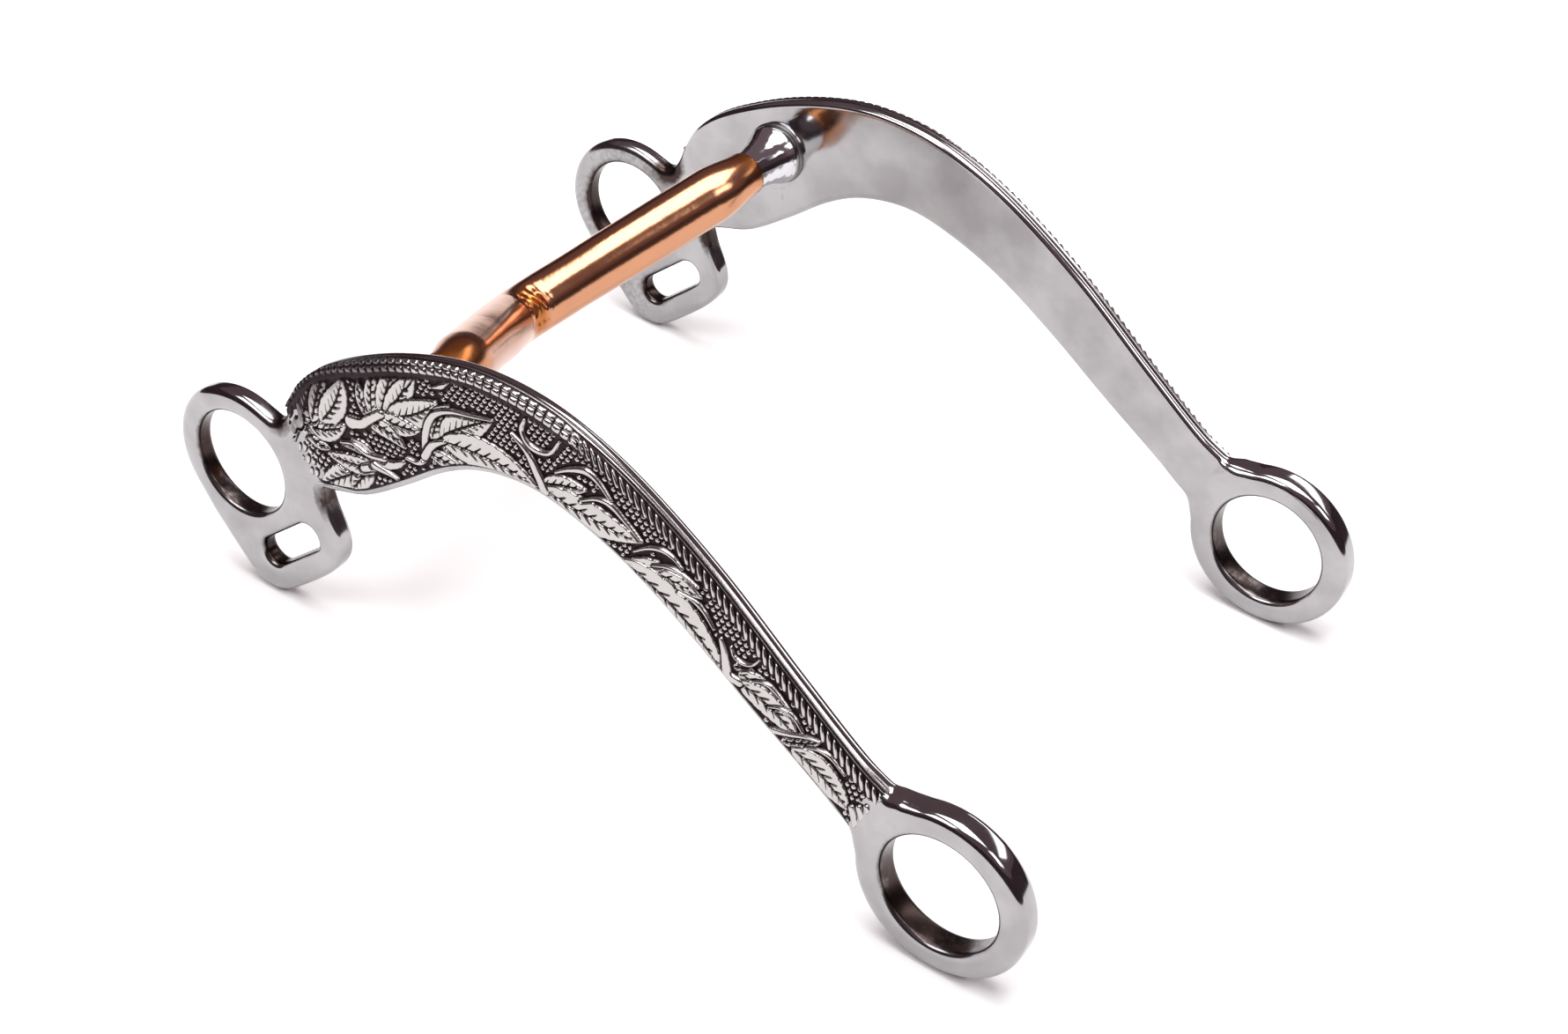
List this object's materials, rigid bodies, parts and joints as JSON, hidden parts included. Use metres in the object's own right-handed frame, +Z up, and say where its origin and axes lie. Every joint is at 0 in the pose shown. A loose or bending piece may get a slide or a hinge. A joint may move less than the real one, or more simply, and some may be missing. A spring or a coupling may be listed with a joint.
{
  "type": "curb bit",
  "caption": "Western curb bit with curved floral-tooled stainless shanks, rein and headstall rings, curb strap slots and an arched copper-sleeved mouthpiece.",
  "frame": {"origin": "centre of the footprint, on the surface the bit lies on: under the middle of the overall box", "axes": "+X along the shanks from the headstall rings to the rein rings, +Y across the mouth to the horse's left shank, +Z up with the bit lying on its curb loops and rein rings"},
  "size_m": [0.211, 0.1376, 0.0831],
  "materials": {
    "polished_steel": "cast stainless steel, polished, slightly rippled",
    "antiqued_steel": "tooled stainless steel, bright on the relief and blackened in the recesses",
    "bar_steel": "polished round bar",
    "copper": "polished copper, tarnished orange where it is cut and creased",
    "bell_steel": "turned and mirror polished stainless steel",
    "weld_steel": "small ground weld bead with heat tint"
  },
  "bodies": {
    "root": {"left_shank": "polished_steel", "right_shank": "polished_steel", "left_overlay": "antiqued_steel", "right_overlay": "antiqued_steel", "mouthpiece_core": "bar_steel", "copper_sleeve": "copper", "left_bell": "bell_steel", "right_bell": "bell_steel", "left_weld": "weld_steel", "right_weld": "weld_steel"}
  },
  "joints": []
}
